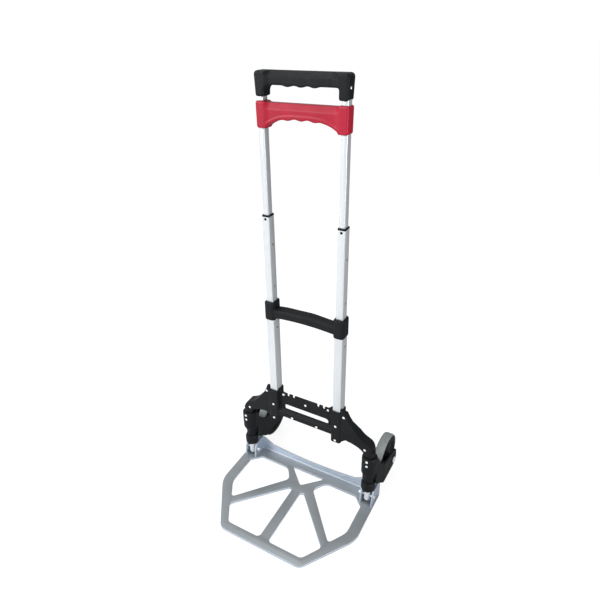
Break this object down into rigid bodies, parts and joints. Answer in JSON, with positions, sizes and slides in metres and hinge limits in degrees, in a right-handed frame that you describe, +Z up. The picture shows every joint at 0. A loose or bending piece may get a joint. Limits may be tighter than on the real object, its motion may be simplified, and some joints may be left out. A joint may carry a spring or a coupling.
{
  "type": "hand truck",
  "caption": "Folding hand truck with a telescoping twin-tube handle, red release grip, fold-up toe plate and two wheels that swing in as it folds.",
  "frame": {"origin": "on the floor under the truck's middle plane, midway between the two handle tubes", "axes": "+Z up along the tubes, -Y towards the toe plate's tip (front), +X across the wheels, to the right as seen from the front"},
  "size_m": [0.4074, 0.4057, 0.9945],
  "materials": {
    "tube_aluminium": "satin anodised",
    "plate_metal": "satin, slightly darker than the tubes",
    "bright_steel": "bright plated",
    "black_plastic": "fine-textured, satin",
    "red_plastic": "satin",
    "tyre_rubber": "matt grey rubber"
  },
  "bodies": {
    "frame": {"lower_body": "black_plastic", "crossbar": "black_plastic", "outer_tube_left": "tube_aluminium", "outer_tube_right": "tube_aluminium", "post_left": "bright_steel", "post_right": "bright_steel", "post_collar_left": "black_plastic", "post_collar_right": "black_plastic", "hinge_pin_left": "bright_steel", "hinge_pin_right": "bright_steel", "rivet_web": "bright_steel", "rivet_ear_left": "bright_steel", "rivet_hook_left": "bright_steel", "rivet_socket_left": "bright_steel", "rivet_tab_left": "bright_steel", "rivet_arm_left": "bright_steel", "rivet_beam_left": "bright_steel", "rivet_ear_right": "bright_steel", "rivet_hook_right": "bright_steel", "rivet_socket_right": "bright_steel", "rivet_tab_right": "bright_steel", "rivet_arm_right": "bright_steel", "rivet_beam_right": "bright_steel"},
    "toe_plate": {"toe_plate": "plate_metal"},
    "wheel_bracket_left": {"wheel_bracket_left": "black_plastic", "axle_left": "bright_steel", "rivet_bracket_upper_left": "bright_steel", "rivet_bracket_lower_left": "bright_steel"},
    "wheel_left": {"wheel_hub_left": "black_plastic", "tyre_left": "tyre_rubber"},
    "wheel_bracket_right": {"wheel_bracket_right": "black_plastic", "axle_right": "bright_steel", "rivet_bracket_upper_right": "bright_steel", "rivet_bracket_lower_right": "bright_steel"},
    "wheel_right": {"wheel_hub_right": "black_plastic", "tyre_right": "tyre_rubber"},
    "middle_stage": {"middle_tube_left": "tube_aluminium", "middle_tube_right": "tube_aluminium", "tube_bush_left": "black_plastic", "tube_bush_right": "black_plastic"},
    "upper_stage": {"inner_tube_left": "tube_aluminium", "inner_tube_right": "tube_aluminium", "handle": "black_plastic", "handle_screw_left": "bright_steel", "handle_screw_right": "bright_steel"},
    "grip": {"release_grip": "red_plastic"}
  },
  "joints": [
    {"name": "toe_fold", "type": "hinge", "parent": "frame", "child": "toe_plate", "pos_m": [0, -0.003, 0.0275], "axis": [-1, 0, 0], "range_deg": [0, 90]},
    {"name": "wheel_fold_left", "type": "hinge", "parent": "frame", "child": "wheel_bracket_left", "pos_m": [-0.172, -0.003, 0.12], "axis": [0, 0, -1], "range_deg": [0, 90]},
    {"name": "wheel_spin_left", "type": "hinge", "parent": "wheel_bracket_left", "child": "wheel_left", "pos_m": [-0.1723, 0.1023, 0.0654], "axis": [1, 0, 0], "continuous": true},
    {"name": "wheel_fold_right", "type": "hinge", "parent": "frame", "child": "wheel_bracket_right", "pos_m": [0.172, -0.003, 0.12], "axis": [0, 0, 1], "range_deg": [0, 90]},
    {"name": "wheel_spin_right", "type": "hinge", "parent": "wheel_bracket_right", "child": "wheel_right", "pos_m": [0.1723, 0.1023, 0.0654], "axis": [1, 0, 0], "continuous": true},
    {"name": "middle_stage_slide", "type": "slide", "parent": "frame", "child": "middle_stage", "axis": [0, 0, -1], "range_m": [0, 0.192]},
    {"name": "upper_stage_slide", "type": "slide", "parent": "middle_stage", "child": "upper_stage", "axis": [0, 0, -1], "range_m": [0, 0.172]},
    {"name": "grip_squeeze", "type": "slide", "parent": "upper_stage", "child": "grip", "axis": [0, 0, 1], "range_m": [0, 0.005], "stiffness_N_per_m": 800, "springref_m": -0.004}
  ],
  "couplings": [
    {"joint": "wheel_fold_left", "follows": "toe_fold", "ratio": 1},
    {"joint": "wheel_fold_right", "follows": "toe_fold", "ratio": 1}
  ]
}
